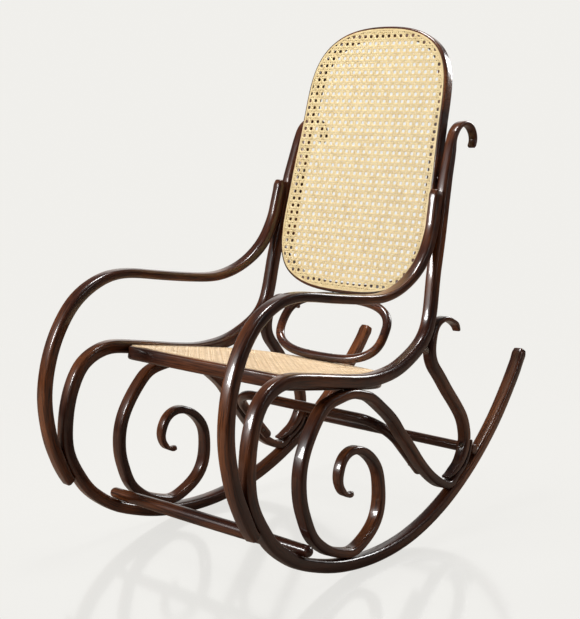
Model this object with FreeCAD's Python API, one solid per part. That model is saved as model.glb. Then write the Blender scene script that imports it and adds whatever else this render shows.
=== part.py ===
import FreeCAD, Part
from FreeCAD import Placement, Rotation, Vector
import math
import os

# Bentwood rocking chair, millimetres.
# X runs across the chair (+X is the sitter's left), the front faces -Y, Z is up.
# The runners stand on z = 0.

# Stance of the two side frames: both are flat, lean inwards and toe in to the rear
FRAME_HALF_SPACING = 248.3
FRAME_LEAN = 2.436
FRAME_TOE_IN = 1.389

# Sections of the bent members: thickness in the frame's plane, width across it
SIDE_THICK, SIDE_WIDTH = 25.0, 28.5
RAIL_THICK = 27.0
POST_THICK, POST_WIDTH = 27.0, 26.0
HOOK_THICK, HOOK_WIDTH = 9.5, 21.0
HOOK_TIP_WIDTH = 18.0
HOOK_ROOT_THICK, HOOK_ROOT_WIDTH = 15.0, 21.5
ARM_HEAD_THICK, ARM_HEAD_WIDTH = 26.5, 23.0
ARM_REST_THICK, ARM_REST_WIDTH = 18.5, 27.0
ARM_BOW_THICK, ARM_BOW_WIDTH = 23.5, 28.5
ARM_TOE_THICK = 20.0
SCROLL_THICK, SCROLL_WIDTH = 19.0, 27.5
SCROLL_TAIL_THICK = 15.5
TAIL_LEAF_THICK = 9.0
CURL_THICK, CURL_WIDTH = 15.0, 21.5
CURL_TIP_THICK, CURL_TIP_WIDTH = 8.5, 11.5
CURL_BALL = 12.0
BRACE_THICK, BRACE_WIDTH = 22.5, 25.0
BRACE_BOLTED_THICK = 20.0
LEAF_THICK, LEAF_WIDTH = 7.0, 25.0
CORNER_SHARE = 0.30
ROUND = 0.5523
STRIP_SECTIONS = 4
JOINT_GAP = 0.3
ROD_GAP = 0.5
LONG_STEP, MIN_STEP, STEP_BEND = 30.0, 6.0, 0.22

# Back panel: plane of its front face, and the section of its frame
BACK_LEAN = 14.6
BACK_FOOT_Y = -12.6
BACK_FRAME_WIDTH, BACK_FRAME_DEPTH = 23.0, 26.5
BACK_EDGE_RADIUS = 5.0

# Lower back ring
RING_CENTRE_Y, RING_CENTRE_Z = 87.6, 419.6
RING_LEAN = 33.5
RING_HALF_WIDTH, RING_HALF_HEIGHT = 140.0, 70.0
RING_POWER = 2.8
RING_RADIUS = 9.5

# Seat: a plane that falls to the rear
SEAT_HEIGHT_AT_ORIGIN = 358.2
SEAT_SLOPE = 9.65
SEAT_FRAME_DEPTH = 27.5
SEAT_EDGE_RADIUS = 5.0

# Woven cane and the cord that wedges its edge into a groove
CANE_THICK = 1.4
CORD_INSET, CORD_WIDTH, CORD_DEPTH, CORD_PROUD = 6.0, 4.2, 5.0, 1.6
CORD_GAP = 0.1

# Round cross pieces
BOW_RADIUS = 10.75
BOW_TOP_Y, BOW_TOP_Z = -4.0, 260.0
BOW_END_Y, BOW_END_Z = 112.0, 138.0
BOW_BEND = 66.0
FRONT_ROD_END = 11.5
FRONT_ROD_SWELL = [(-0.8, 12.3), (-0.45, 13.5), (0.0, 14.0), (0.45, 13.5), (0.8, 12.3)]
FRONT_ROD_PROUD = 10.0
REAR_ROD_RADIUS = 11.0
REAR_ROD_SHORT = 1.5
REAR_ROD_EDGE = 3.0

# Fasteners
SCREW_RADIUS = 2.0
SCREW_HEAD_RADIUS, SCREW_HEAD_HEIGHT = 4.2, 2.4
FACE_SCREW, ARM_FOOT_SCREW, LONG_SCREW, SEAT_SCREW = 34.0, 38.0, 44.0, 56.0
BOLT_RADIUS = 2.8
BOLT_HEAD_RADIUS, BOLT_HEAD_HEIGHT = 5.5, 3.2
BOLT_LENGTH = 78.0
WASHER_RADIUS = 7.0
HOLE_GAP = 0.1
POCKET_GAP = 0.3
POCKET_REACH = 9.0
HEAD_SINK = 2.2
RING_HEAD_SINK = 2.6
RING_SCREW_X = 32.0

# Screws that run outwards into the side frames, as (y, z) and the wall's distance from the middle
BOW_SCREWS = [(52, 201), (93, 154)]
SEAT_SCREWS = [(-230, 385, 188.5), (-85, 361, 186.4)]
BACK_SCREWS = [(169, 640, 175.2), (196, 745, 173.2)]

WASHER_THICKS = (3.6, 1.9)
WASHER_CLEAR = 0.2
OUTLINE_STEPS = 96
RING_STEPS = 32

# Centre lines in a side frame's plane, as (y, z)
HOOK_LINE = [(299, 806), (307, 827), (296, 847), (271, 856.5), (243, 848), (226, 829)]
POST_LINE = [(217, 802), (204, 762), (186, 701), (165, 615), (145, 540), (131, 473)]
POST_FOOT_LINE = [(118, 440), (97, 416), (70, 399), (38, 385)]
SEAT_RAIL_LINE = [(5, 374.5), (-40, 368.5), (-85, 368), (-145, 375.5), (-230, 392), (-300, 405)]
FRONT_LOOP_LINE = [(-340, 409), (-375, 402), (-407, 383), (-428, 352), (-443, 308), (-449, 262),
                   (-446, 214), (-436, 186), (-419, 156), (-392, 119), (-362, 93), (-326, 69)]
RUNNER_LINE = [(-285, 51), (-225, 31.5), (-160, 18.5), (-97, 12.5), (-30, 13), (40, 21.5),
               (112, 40), (190, 71), (265, 112), (330, 157), (388, 206), (440, 260), (477, 304), (500, 338)]

ARM_HEAD_HEIGHTS = [727, 705, 680, 655]
ARM_REST_LINE = [(133, 622), (112, 590), (80, 562), (35, 539), (-10, 527), (-50, 524), (-90, 527),
                 (-150, 535), (-230, 548), (-300, 557.5), (-340, 555.5), (-385, 541), (-425, 515)]
ARM_BOW_LINE = [(-455, 479), (-480, 430), (-495, 375), (-499, 325), (-493, 275), (-482, 232)]

SCROLL_CURL_LINE = [(-149, 156), (-166, 157), (-182, 168), (-192, 190), (-188, 212), (-177, 229),
                    (-153, 240), (-124, 236)]
SCROLL_LOOP_LINE = [(-89, 213), (-69, 184), (-63, 150), (-64, 122), (-69, 102), (-79, 84),
                    (-95, 68.5), (-120, 54)]
SCROLL_FRONT_LINE = [(-193, 49), (-224, 60.5), (-251, 77), (-279, 104), (-297, 142), (-308, 183),
                     (-309, 202), (-308, 221), (-299, 256), (-280, 290), (-254, 322), (-234, 339),
                     (-211, 347), (-180, 351)]
SCROLL_REAR_LINE = [(-122, 346), (-96, 338), (-70, 322), (-43, 300.5), (-14, 275), (10, 245),
                    (39, 213), (68, 178), (100, 144), (142, 111), (168, 98)]
SCROLL_TAIL_LINE = [(217, 109.5), (242, 123)]

BRACE_HOOK_LINE = [(232, 419), (225, 433), (206, 445), (185, 452), (162, 449), (145, 438)]
BRACE_LINE = [(128, 400), (129, 379), (138, 359), (156, 338), (180, 308), (206, 278), (229, 251),
              (247, 224), (255, 198), (256, 178), (249, 157)]
BRACE_TOE_LINE = [(234, 136), (210, 120), (179, 110)]

# Half outline of the back panel as (half width, height above the floor)
BACK_OUTLINE = [(0, 1062), (32, 1061), (76, 1055), (119, 1040), (157, 1010), (176, 977),
                (185, 940), (189, 873), (192, 812), (196, 745), (198.5, 677), (197, 596),
                (173, 535), (118, 503), (48, 492), (0, 491)]

# Half outline of the seat as (half width, y)
SEAT_OUTLINE = [(0, -316), (65, -315.5), (130, -314.5), (175, -313.5), (200, -312.5), (212, -308),
                (219, -299), (221.8, -286), (222, -262), (221.8, -225), (221.1, -180), (220.3, -120),
                (219.3, -72), (213.5, -32), (191, 17),
                (155, 49), (104, 66), (52, 70), (0, 71)]

# Half outline of the opening in the seat frame
SEAT_OPENING = [(0, -283), (80, -282.5), (135, -280), (165, -271), (182, -252), (188.5, -222),
                (188.3, -180), (187.3, -120), (186, -75), (180, -38), (163, -3), (138, 20),
                (98, 34), (50, 37.5), (0, 38)]


# Bent members

def plane_point(y, z, x=0.0):
    """A place in the plane of a side frame, before the frame is leaned."""
    return Vector(x, y, z)


def bent_curve(line):
    """A smooth curve through the (y, z) places of a centre line."""
    curve = Part.BSplineCurve()
    curve.interpolate([plane_point(y, z) for y, z in line])
    return curve


def left_normal(tangent):
    """The in-plane direction to the left of a walk along the curve."""
    return Vector(1, 0, 0).cross(tangent)


def section_corners(centre, tangent, thick, width):
    """Four control places for each of the four rounded corners, in order round the section."""
    up = left_normal(tangent)
    across = Vector(1, 0, 0)
    radius = CORNER_SHARE * min(thick, width)
    places = []
    for side_x, side_up, turned in ((1, 1, False), (-1, 1, True), (-1, -1, False), (1, -1, True)):
        square = centre + across * (side_x * width / 2) + up * (side_up * thick / 2)
        down = up * (-side_up * radius)
        inward = across * (-side_x * radius)
        quarter = [square + down, square + down * (1 - ROUND), square + inward * (1 - ROUND),
                   square + inward]
        places += quarter[::-1] if turned else quarter
    return places


def section_at(stations, share):
    """Thickness and width at a share of the length, between two stations."""
    for (s0, t0, w0), (s1, t1, w1) in zip(stations, stations[1:]):
        if share <= s1:
            k = (share - s0) / (s1 - s0)
            k = k * k * (3 - 2 * k)
            return t0 + (t1 - t0) * k, w0 + (w1 - w0) * k
    return stations[-1][1:]


def section_places(curve, length, tip, toe):
    """Distances along the curve, closer together at rounded ends and in tight bends."""
    places = [0.0]
    if tip > 0:
        places = [0.0, 0.1 * tip, 0.35 * tip, tip, 1.8 * tip]
    while places[-1] < length - 1.8 * toe - MIN_STEP:
        here = curve.parameterAtDistance(places[-1], curve.FirstParameter)
        ahead = curve.parameterAtDistance(min(places[-1] + LONG_STEP, length), curve.FirstParameter)
        bend = max(curve.curvature(here), curve.curvature(ahead), 1e-5)
        step = min(max(STEP_BEND / bend, MIN_STEP), LONG_STEP)
        places.append(min(places[-1] + step, length - 1.8 * toe))
    if toe > 0:
        places += [length - toe, length - 0.35 * toe, length - 0.1 * toe]
    if places[-1] < length:
        places.append(length)
    return places


def rounding(share):
    """How much of the full section is left near a rounded end."""
    return 0.5 + 0.5 * math.sqrt(max(0.0, 1 - (1 - share) ** 2))


def track(points, places):
    """A smooth curve through one corner's places in every section."""
    curve = Part.BSplineCurve()
    curve.interpolate(Points=points, Parameters=places)
    return curve


def skin(tracks, places):
    """The surface strip carried by two or four neighbouring tracks, in short lengths."""
    across = len(tracks)
    columns = [line.getPoles() for line in tracks]
    poles = [list(row) for row in zip(*columns)]
    first = tracks[0]
    surface = Part.BSplineSurface()
    surface.buildFromPolesMultsKnots(
        poles, first.getMultiplicities(), [across, across], first.getKnots(), [0, 1],
        False, False, first.Degree, across - 1)
    breaks = places[:-STRIP_SECTIONS // 2:STRIP_SECTIONS] + [places[-1]]
    faces = []
    for start, end in zip(breaks, breaks[1:]):
        piece = surface.copy()
        piece.segment(start, end, 0, 1)
        faces.append(piece.toShape())
    return faces


def end_face(corners):
    """The flat face that closes a member at one end."""
    edges = []
    for index in range(0, 16, 4):
        bow = Part.BezierCurve()
        bow.setPoles(corners[index:index + 4])
        edges.append(bow.toShape())
        edges.append(Part.makeLine(corners[index + 3], corners[(index + 4) % 16]))
    return Part.Face(Part.Wire(edges))


def bent_member(curve, stations, round_start=True, round_end=True):
    """A member of changing section along a curve; stations hold (share, thickness, width)."""
    length = curve.length()
    tip = 0.45 * min(stations[0][1:]) if round_start else 0.0
    toe = 0.45 * min(stations[-1][1:]) if round_end else 0.0
    places = section_places(curve, length, tip, toe)
    sections = []
    for place in places:
        thick, width = section_at(stations, place / length)
        left = 1.0
        if place < tip:
            left = rounding(place / tip)
        if place > length - toe:
            left = rounding((length - place) / toe)
        inset = (1 - left) * min(thick, width)
        here = curve.parameterAtDistance(place, curve.FirstParameter)
        tangent = Vector(*curve.tangent(here)[0])
        sections.append(section_corners(curve.value(here), tangent, thick - inset, width - inset))
    tracks = [track([section[index] for section in sections], places) for index in range(16)]
    faces = [end_face(sections[0]), end_face(sections[-1])]
    for index in range(0, 16, 4):
        faces += skin(tracks[index:index + 4], places)
        faces += skin([tracks[index + 3], tracks[(index + 4) % 16]], places)
    shell = Part.makeShell(faces)
    shell.sewShape()
    solid = Part.makeSolid(shell)
    if solid.Volume < 0:
        solid.reverse()
    return solid


def nearest_on(curve, y, z):
    """Centre and unit tangent of a curve beside a place."""
    here = curve.parameter(plane_point(y, z))
    return curve.value(here), Vector(*curve.tangent(here)[0])


def share_at(curve, y, z):
    """Share of a curve's length at the place nearest to (y, z)."""
    here = curve.parameter(plane_point(y, z))
    return curve.length(curve.FirstParameter, here) / curve.length()


def beside(curve, y, z, distance):
    """A place at a distance from a curve, on the side where (y, z) lies."""
    centre, tangent = nearest_on(curve, y, z)
    out = left_normal(tangent)
    if out.dot(plane_point(y, z) - centre) < 0:
        out = out * -1
    place = centre + out * distance
    return (place.y, place.z)


def touching(thick, other_thick):
    """Distance between the centre lines of two members that lie face to face."""
    return (thick + other_thick) / 2 + JOINT_GAP


# The side member: back post, seat rail, front loop and runner in one bend

side_curve = bent_curve(HOOK_LINE + POST_LINE + POST_FOOT_LINE + SEAT_RAIL_LINE
                        + FRONT_LOOP_LINE + RUNNER_LINE)
side_member = bent_member(side_curve, [
    (0.0, HOOK_THICK, HOOK_TIP_WIDTH),
    (share_at(side_curve, 271, 854), HOOK_THICK, HOOK_WIDTH),
    (share_at(side_curve, 226, 828), HOOK_ROOT_THICK, HOOK_ROOT_WIDTH),
    (share_at(side_curve, 213, 790), 23.0, 23.5),
    (share_at(side_curve, 186, 701), POST_THICK, POST_WIDTH),
    (share_at(side_curve, 130, 470), POST_THICK, POST_WIDTH),
    (share_at(side_curve, 5, 374), RAIL_THICK, SIDE_WIDTH),
    (share_at(side_curve, -300, 405), RAIL_THICK, SIDE_WIDTH),
    (share_at(side_curve, -428, 352), SIDE_THICK, SIDE_WIDTH),
    (1.0, SIDE_THICK, SIDE_WIDTH),
])

# The arm lies against the post at its head and against the front loop at its foot

ARM_FOOT_LINE = [
    beside(side_curve, -465, 195, touching(ARM_BOW_THICK + 1, SIDE_THICK)),
    beside(side_curve, -452, 170, touching(ARM_BOW_THICK - 1.2, SIDE_THICK)),
    beside(side_curve, -438, 148, touching(ARM_TOE_THICK, SIDE_THICK)),
]
ARM_HEAD_LINE = [beside(side_curve, 150, height, touching(ARM_HEAD_THICK, POST_THICK))
                 for height in ARM_HEAD_HEIGHTS]
arm_curve = bent_curve(ARM_HEAD_LINE + ARM_REST_LINE + ARM_BOW_LINE + ARM_FOOT_LINE)
arm = bent_member(arm_curve, [
    (0.0, ARM_HEAD_THICK - 0.5, ARM_HEAD_WIDTH),
    (share_at(arm_curve, 144, 648), ARM_HEAD_THICK - 0.5, ARM_HEAD_WIDTH),
    (share_at(arm_curve, 112, 590), ARM_HEAD_THICK - 2.5, ARM_HEAD_WIDTH + 2),
    (share_at(arm_curve, 35, 539), ARM_REST_THICK, ARM_REST_WIDTH),
    (share_at(arm_curve, -300, 557), ARM_REST_THICK, ARM_REST_WIDTH),
    (share_at(arm_curve, -425, 515), ARM_BOW_THICK, ARM_BOW_WIDTH),
    (share_at(arm_curve, -465, 195), ARM_BOW_THICK, ARM_BOW_WIDTH),
    (1.0, ARM_TOE_THICK, ARM_BOW_WIDTH - 1.5),
], round_end=False)

# The rear brace: a flattened hook, a long S and a toe in the tail of the scroll

BRACE_HEAD = beside(side_curve, 134, 425, touching(BRACE_THICK - 3, POST_THICK))
brace_curve = bent_curve(BRACE_HOOK_LINE + [BRACE_HEAD] + BRACE_LINE + BRACE_TOE_LINE)
brace = bent_member(brace_curve, [
    (0.0, LEAF_THICK, LEAF_WIDTH - 7),
    (share_at(brace_curve, 217, 441), LEAF_THICK, LEAF_WIDTH),
    (share_at(brace_curve, 162, 449), 12.0, 22.0),
    (share_at(brace_curve, 128, 400), BRACE_THICK, BRACE_WIDTH),
    (share_at(brace_curve, 255, 198), BRACE_THICK, BRACE_WIDTH),
    (share_at(brace_curve, 251, 163), BRACE_BOLTED_THICK, BRACE_WIDTH),
    (share_at(brace_curve, 210, 120), 12.0, BRACE_WIDTH - 2),
    (1.0, 6.0, BRACE_WIDTH - 6),
])

# The rear rod rests on the runner's upper face

REAR_ROD_Y, REAR_ROD_Z = beside(side_curve, 281, 150.3, SIDE_THICK / 2 + REAR_ROD_RADIUS + ROD_GAP)

# The scroll: one long bend from the inner curl to the tail behind the rear brace

SCROLL_ON_RUNNER = beside(side_curve, -167, 40, touching(SCROLL_THICK, SIDE_THICK))
SCROLL_UNDER_RAIL = beside(side_curve, -149, 352, touching(SCROLL_THICK, RAIL_THICK))
TAIL_ON_RUNNER = beside(side_curve, 190, 95, touching(SCROLL_TAIL_THICK + 1.4, SIDE_THICK))
TAIL_BEHIND_BRACE = [
    beside(brace_curve, 262, 148, touching(TAIL_LEAF_THICK + 1.2, BRACE_BOLTED_THICK - 1)),
    beside(brace_curve, 270, 163, touching(TAIL_LEAF_THICK + 0.6, BRACE_BOLTED_THICK)),
    beside(brace_curve, 272, 174, touching(TAIL_LEAF_THICK + 0.6, BRACE_BOLTED_THICK + 1)),
]
scroll_curve = bent_curve(SCROLL_CURL_LINE + SCROLL_LOOP_LINE + [SCROLL_ON_RUNNER]
                          + SCROLL_FRONT_LINE + [SCROLL_UNDER_RAIL] + SCROLL_REAR_LINE
                          + [TAIL_ON_RUNNER] + SCROLL_TAIL_LINE + TAIL_BEHIND_BRACE)
scroll = bent_member(scroll_curve, [
    (0.0, CURL_BALL, CURL_BALL),
    (0.006, CURL_BALL, CURL_BALL),
    (0.014, CURL_TIP_THICK, CURL_TIP_WIDTH),
    (share_at(scroll_curve, -182, 168), CURL_THICK - 2.5, CURL_WIDTH - 4),
    (share_at(scroll_curve, -188, 212), CURL_THICK, CURL_WIDTH),
    (share_at(scroll_curve, -69, 184), SCROLL_THICK - 1, SCROLL_WIDTH - 2),
    (share_at(scroll_curve, -69, 102), SCROLL_THICK, SCROLL_WIDTH),
    (share_at(scroll_curve, 142, 111), SCROLL_THICK, SCROLL_WIDTH),
    (share_at(scroll_curve, 168, 98), SCROLL_THICK - 2, SCROLL_WIDTH),
    (share_at(scroll_curve, 188, 95), SCROLL_TAIL_THICK, SCROLL_WIDTH - 1),
    (share_at(scroll_curve, 216, 110), 11.0, SCROLL_WIDTH - 2),
    (share_at(scroll_curve, 244, 126), TAIL_LEAF_THICK, SCROLL_WIDTH - 3),
    (1.0, TAIL_LEAF_THICK, SCROLL_WIDTH - 5),
])


# Screws, bolts and their holes

def along(shape, start, direction):
    """Turn a shape built up the Z axis to start at a place and point along a direction."""
    shape.Placement = Placement(start, Rotation(Vector(0, 0, 1), direction))
    return shape


def domed_head(radius, height):
    """A low dome that stands below z = 0."""
    ball = (radius ** 2 + height ** 2) / (2 * height)
    dome = Part.makeSphere(ball, Vector(0, 0, ball - height))
    return dome.common(Part.makeCylinder(radius, height, Vector(0, 0, -height)))


def screw(start, direction, length, radius=SCREW_RADIUS, head_radius=SCREW_HEAD_RADIUS,
          head_height=SCREW_HEAD_HEIGHT):
    """A domed screw: the head stands on the face at start and the shank runs in."""
    shank = Part.makeCylinder(radius, length - 2 * radius)
    point = Part.makeCone(radius, radius * 0.25, 2 * radius, Vector(0, 0, length - 2 * radius))
    body = domed_head(head_radius, head_height).fuse(shank).fuse(point).removeSplitter()
    return along(body, start, direction)


def bore(start, direction, length, radius=SCREW_RADIUS, head_radius=SCREW_HEAD_RADIUS):
    """The hole for a screw's shank, with a flat pocket for its head."""
    shank = Part.makeCylinder(radius + HOLE_GAP, length + HOLE_GAP)
    pocket = Part.makeCylinder(head_radius + POCKET_GAP, POCKET_REACH, Vector(0, 0, -POCKET_REACH))
    return along(shank.fuse(pocket), start, direction)


def face_screw_place(curve, y, z, toward, thick):
    """Start and direction of a screw through a member of this thickness, toward a place."""
    centre, tangent = nearest_on(curve, y, z)
    inward = left_normal(tangent)
    if inward.dot(plane_point(*toward) - centre) < 0:
        inward = inward * -1
    return centre - inward * (thick / 2 - HEAD_SINK), inward


def stand_up(shape):
    """Lean and toe in a side frame's piece and set it out to the sitter's left."""
    turned = shape.copy()
    turned.rotate(Vector(0, 0, 0), Vector(0, 1, 0), -FRAME_LEAN)
    turned.rotate(Vector(0, 0, 0), Vector(0, 0, 1), FRAME_TOE_IN)
    turned.translate(Vector(FRAME_HALF_SPACING, 0, 0))
    return turned


def mirrored(shape):
    """The same piece on the sitter's right."""
    return shape.mirror(Vector(0, 0, 0), Vector(1, 0, 0))


def half_spacing(y, z):
    """Distance of a side frame's middle plane from the chair's middle plane."""
    lean = math.tan(math.radians(FRAME_LEAN))
    toe = math.tan(math.radians(FRAME_TOE_IN))
    return FRAME_HALF_SPACING - toe * y - lean * z


# Rings and frames that are drawn flat and then leaned back

def closed_curve(places):
    """A smooth closed curve through places."""
    curve = Part.BSplineCurve()
    curve.interpolate(Points=places, PeriodicFlag=True)
    return curve


def half_outline_curve(points, stretch):
    """A closed curve from a half outline, mirrored across the middle."""
    right = [Vector(x, v * stretch, 0) for x, v in points]
    left = [Vector(-place.x, place.y, 0) for place in right[-2:0:-1]]
    return closed_curve(right + left)


def inset_curve(curve, inset):
    """A closed curve at a constant distance inside another."""
    span = curve.LastParameter - curve.FirstParameter
    steps = [curve.FirstParameter + span * index / OUTLINE_STEPS for index in range(OUTLINE_STEPS)]
    middle = curve.value(steps[0]) * 0.5 + curve.value(steps[OUTLINE_STEPS // 2]) * 0.5
    places = []
    for step in steps:
        inward = Vector(0, 0, 1).cross(Vector(*curve.tangent(step)[0]))
        if inward.dot(middle - curve.value(step)) < 0:
            inward = inward * -1
        places.append(curve.value(step) + inward * inset)
    return closed_curve(places)


def plate(curve, bottom, top):
    """A flat plate with this outline, between two heights."""
    face = Part.Face(Part.Wire(curve.toShape()))
    face.translate(Vector(0, 0, bottom))
    return face.extrude(Vector(0, 0, top - bottom))


def band(curve, outer_inset, inner_inset, bottom, top):
    """A closed band between two insets of an outline."""
    outer = plate(inset_curve(curve, outer_inset), bottom, top)
    return outer.cut(plate(inset_curve(curve, inner_inset), bottom - 1, top + 1))


def caned_frame(curve, opening, depth, edge_radius):
    """The wooden frame with its cord groove, the cane sheet and the cord, front face at z = 0."""
    frame = plate(curve, -depth, 0.0).cut(plate(opening, -depth - 1, 1.0))
    frame = frame.makeFillet(edge_radius, [edge for edge in frame.Edges
                                           if abs(edge.BoundBox.ZLength) < 0.01])
    cord_end = CORD_INSET + CORD_WIDTH
    frame = frame.cut(band(curve, CORD_INSET, cord_end, -CORD_DEPTH, 1.0))
    cord = band(curve, CORD_INSET + CORD_GAP, cord_end - CORD_GAP, CORD_GAP - CORD_DEPTH, CORD_PROUD)
    sheet = plate(inset_curve(curve, cord_end), CORD_GAP, CANE_THICK)
    return frame, sheet, cord


def lean_back(shape, angle, y, z):
    """Stand a flat piece up about the X axis, lean it back and set it in place."""
    turned = shape.copy()
    turned.rotate(Vector(0, 0, 0), Vector(1, 0, 0), angle)
    turned.translate(Vector(0, y, z))
    return turned


back_curve = half_outline_curve(BACK_OUTLINE, 1 / math.cos(math.radians(BACK_LEAN)))
back_frame, back_cane, back_cane_cord = [
    lean_back(piece, 90 - BACK_LEAN, BACK_FOOT_Y, 0) for piece in
    caned_frame(back_curve, inset_curve(back_curve, BACK_FRAME_WIDTH), BACK_FRAME_DEPTH,
                BACK_EDGE_RADIUS)]

seat_stretch = 1 / math.cos(math.radians(SEAT_SLOPE))
seat_curve = half_outline_curve(SEAT_OUTLINE, seat_stretch)
seat_opening = half_outline_curve(SEAT_OPENING, seat_stretch)
seat_frame, seat_cane, seat_cane_cord = [
    lean_back(piece, -SEAT_SLOPE, 0, SEAT_HEIGHT_AT_ORIGIN) for piece in
    caned_frame(seat_curve, seat_opening, SEAT_FRAME_DEPTH, SEAT_EDGE_RADIUS)]


# Round bent pieces

def ring_place(angle):
    """A place on the lower back ring's centre line, drawn flat."""
    x = math.copysign(abs(math.cos(angle)) ** (2 / RING_POWER), math.cos(angle))
    v = math.copysign(abs(math.sin(angle)) ** (2 / RING_POWER), math.sin(angle))
    return Vector(RING_HALF_WIDTH * x, RING_HALF_HEIGHT * v, 0)


def tube(path, start, direction, radius):
    """A round bar along a path."""
    section = Part.Wire(Part.makeCircle(radius, start, direction))
    return path.makePipeShell([section], True, False)


def rounded_path(corners, bend):
    """A path of straight lines with an arc of the same radius at each inner corner."""
    edges = []
    last = corners[0]
    for before, corner, after in zip(corners, corners[1:], corners[2:]):
        to_before = (before - corner).normalize()
        to_after = (after - corner).normalize()
        half = to_before.getAngle(to_after) / 2
        first = corner + to_before * (bend / math.tan(half))
        second = corner + to_after * (bend / math.tan(half))
        inward = (to_before + to_after).normalize()
        middle = corner + inward * (bend / math.sin(half) - bend)
        edges.append(Part.makeLine(last, first))
        edges.append(Part.Arc(first, middle, second).toShape())
        last = second
    edges.append(Part.makeLine(last, corners[-1]))
    return Part.Wire(edges)


ring_curve = closed_curve([ring_place(2 * math.pi * (index + 0.5) / RING_STEPS)
                           for index in range(RING_STEPS)])
ring_start = ring_curve.value(ring_curve.FirstParameter)
ring_tangent = Vector(*ring_curve.tangent(ring_curve.FirstParameter)[0])
lower_back_ring = tube(Part.Wire(ring_curve.toShape()), ring_start, ring_tangent, RING_RADIUS)
lower_back_ring = lean_back(lower_back_ring, 90 - RING_LEAN, RING_CENTRE_Y, RING_CENTRE_Z)

inner_reach = SCROLL_WIDTH / 2 + BOW_RADIUS + JOINT_GAP
bow_end = Vector(half_spacing(BOW_END_Y, BOW_END_Z) - inner_reach, BOW_END_Y, BOW_END_Z)
bow_corner = Vector(half_spacing(BOW_TOP_Y, BOW_TOP_Z) - inner_reach, BOW_TOP_Y, BOW_TOP_Z)


def other_side(place):
    """The same place on the sitter's right."""
    return Vector(-place.x, place.y, place.z)


bow_path = rounded_path([bow_end, bow_corner, other_side(bow_corner), other_side(bow_end)], BOW_BEND)
under_seat_bow = tube(bow_path, bow_end, bow_corner - bow_end, BOW_RADIUS)
for place in (bow_end, other_side(bow_end)):
    under_seat_bow = under_seat_bow.fuse(Part.makeSphere(BOW_RADIUS, place))
under_seat_bow = under_seat_bow.removeSplitter()


# Straight rods

FRONT_ROD_Y, FRONT_ROD_Z = beside(side_curve, -306, 88,
                                  SIDE_THICK / 2 + FRONT_ROD_END + ROD_GAP)
front_rod_half = half_spacing(FRONT_ROD_Y, FRONT_ROD_Z) + SIDE_WIDTH / 2 + FRONT_ROD_PROUD
rod_shoulder = front_rod_half - FRONT_ROD_END
swell = Part.BSplineCurve()
swell.interpolate([Vector(share * rod_shoulder, radius, 0) for share, radius in
                   [(-1.0, FRONT_ROD_END)] + FRONT_ROD_SWELL + [(1.0, FRONT_ROD_END)]])
edges = [swell.toShape()]
for side in (1, -1):
    shoulder = Vector(side * rod_shoulder, FRONT_ROD_END, 0)
    tip = Vector(side * front_rod_half, 0, 0)
    halfway = Vector(side * (rod_shoulder + FRONT_ROD_END * math.sqrt(0.5)),
                     FRONT_ROD_END * math.sqrt(0.5), 0)
    edges.append(Part.Arc(shoulder, halfway, tip).toShape())
edges.append(Part.makeLine(Vector(-front_rod_half, 0, 0), Vector(front_rod_half, 0, 0)))
rod_face = Part.Face(Part.Wire(Part.__sortEdges__(edges)))
front_stretcher = rod_face.revolve(Vector(0, 0, 0), Vector(1, 0, 0), 360)
front_stretcher.translate(Vector(0, FRONT_ROD_Y, FRONT_ROD_Z))

# The rear rod lies on the runners, behind the rear braces
rear_reach = half_spacing(REAR_ROD_Y, REAR_ROD_Z) + SIDE_WIDTH / 2 - REAR_ROD_SHORT
rear_stretcher = Part.makeCylinder(REAR_ROD_RADIUS, 2 * rear_reach,
                                   Vector(-rear_reach, REAR_ROD_Y, REAR_ROD_Z), Vector(1, 0, 0))
rear_stretcher = rear_stretcher.makeFillet(REAR_ROD_EDGE, [
    edge for edge in rear_stretcher.Edges if edge.BoundBox.XLength < 1])


# Fasteners that lie in a side frame's plane, as (start, direction)

def outward_screw_place(y, z, wall):
    """A screw that runs outwards, square to the side frame, from a wall this far from the middle."""
    return Vector(wall - half_spacing(y, z) + HEAD_SINK, y, z), Vector(1, 0, 0)


bow_wall = [half_spacing(y, z) - inner_reach - BOW_RADIUS for y, z in BOW_SCREWS]
screw_places = {
    "arm_top_screws": [
        face_screw_place(side_curve, 188, 706, (158, 714), POST_THICK),
        face_screw_place(side_curve, 179, 672, (150, 680), POST_THICK),
    ],
    "arm_foot_screws": [face_screw_place(side_curve, -436, 186, (-463, 190), SIDE_THICK)],
    "rail_screws": [
        face_screw_place(scroll_curve, -168, 351, (-168, 380), SCROLL_THICK),
        face_screw_place(scroll_curve, -134, 350, (-134, 375), SCROLL_THICK),
    ],
    "runner_screws": [
        face_screw_place(scroll_curve, -167, 40, (-162, 17), SCROLL_THICK),
        face_screw_place(scroll_curve, 190, 96, (190, 72), SCROLL_TAIL_THICK),
    ],
    "brace_top_screws": [face_screw_place(brace_curve, 134, 424, (110, 430), BRACE_THICK - 3)],
    "front_stretcher_screws": [
        face_screw_place(side_curve, FRONT_ROD_Y, FRONT_ROD_Z, (FRONT_ROD_Y, FRONT_ROD_Z), SIDE_THICK),
    ],
    "bow_screws": [outward_screw_place(y, z, wall) for (y, z), wall in zip(BOW_SCREWS, bow_wall)],
    "seat_screws": [outward_screw_place(y, z, wall) for y, z, wall in SEAT_SCREWS],
    "back_frame_screws": [outward_screw_place(y, z, wall) for y, z, wall in BACK_SCREWS],
}
screw_lengths = {name: FACE_SCREW for name in screw_places}
screw_lengths.update({
    "arm_top_screws": LONG_SCREW, "arm_foot_screws": ARM_FOOT_SCREW, "bow_screws": LONG_SCREW,
    "seat_screws": SEAT_SCREW, "back_frame_screws": LONG_SCREW,
})

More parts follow.
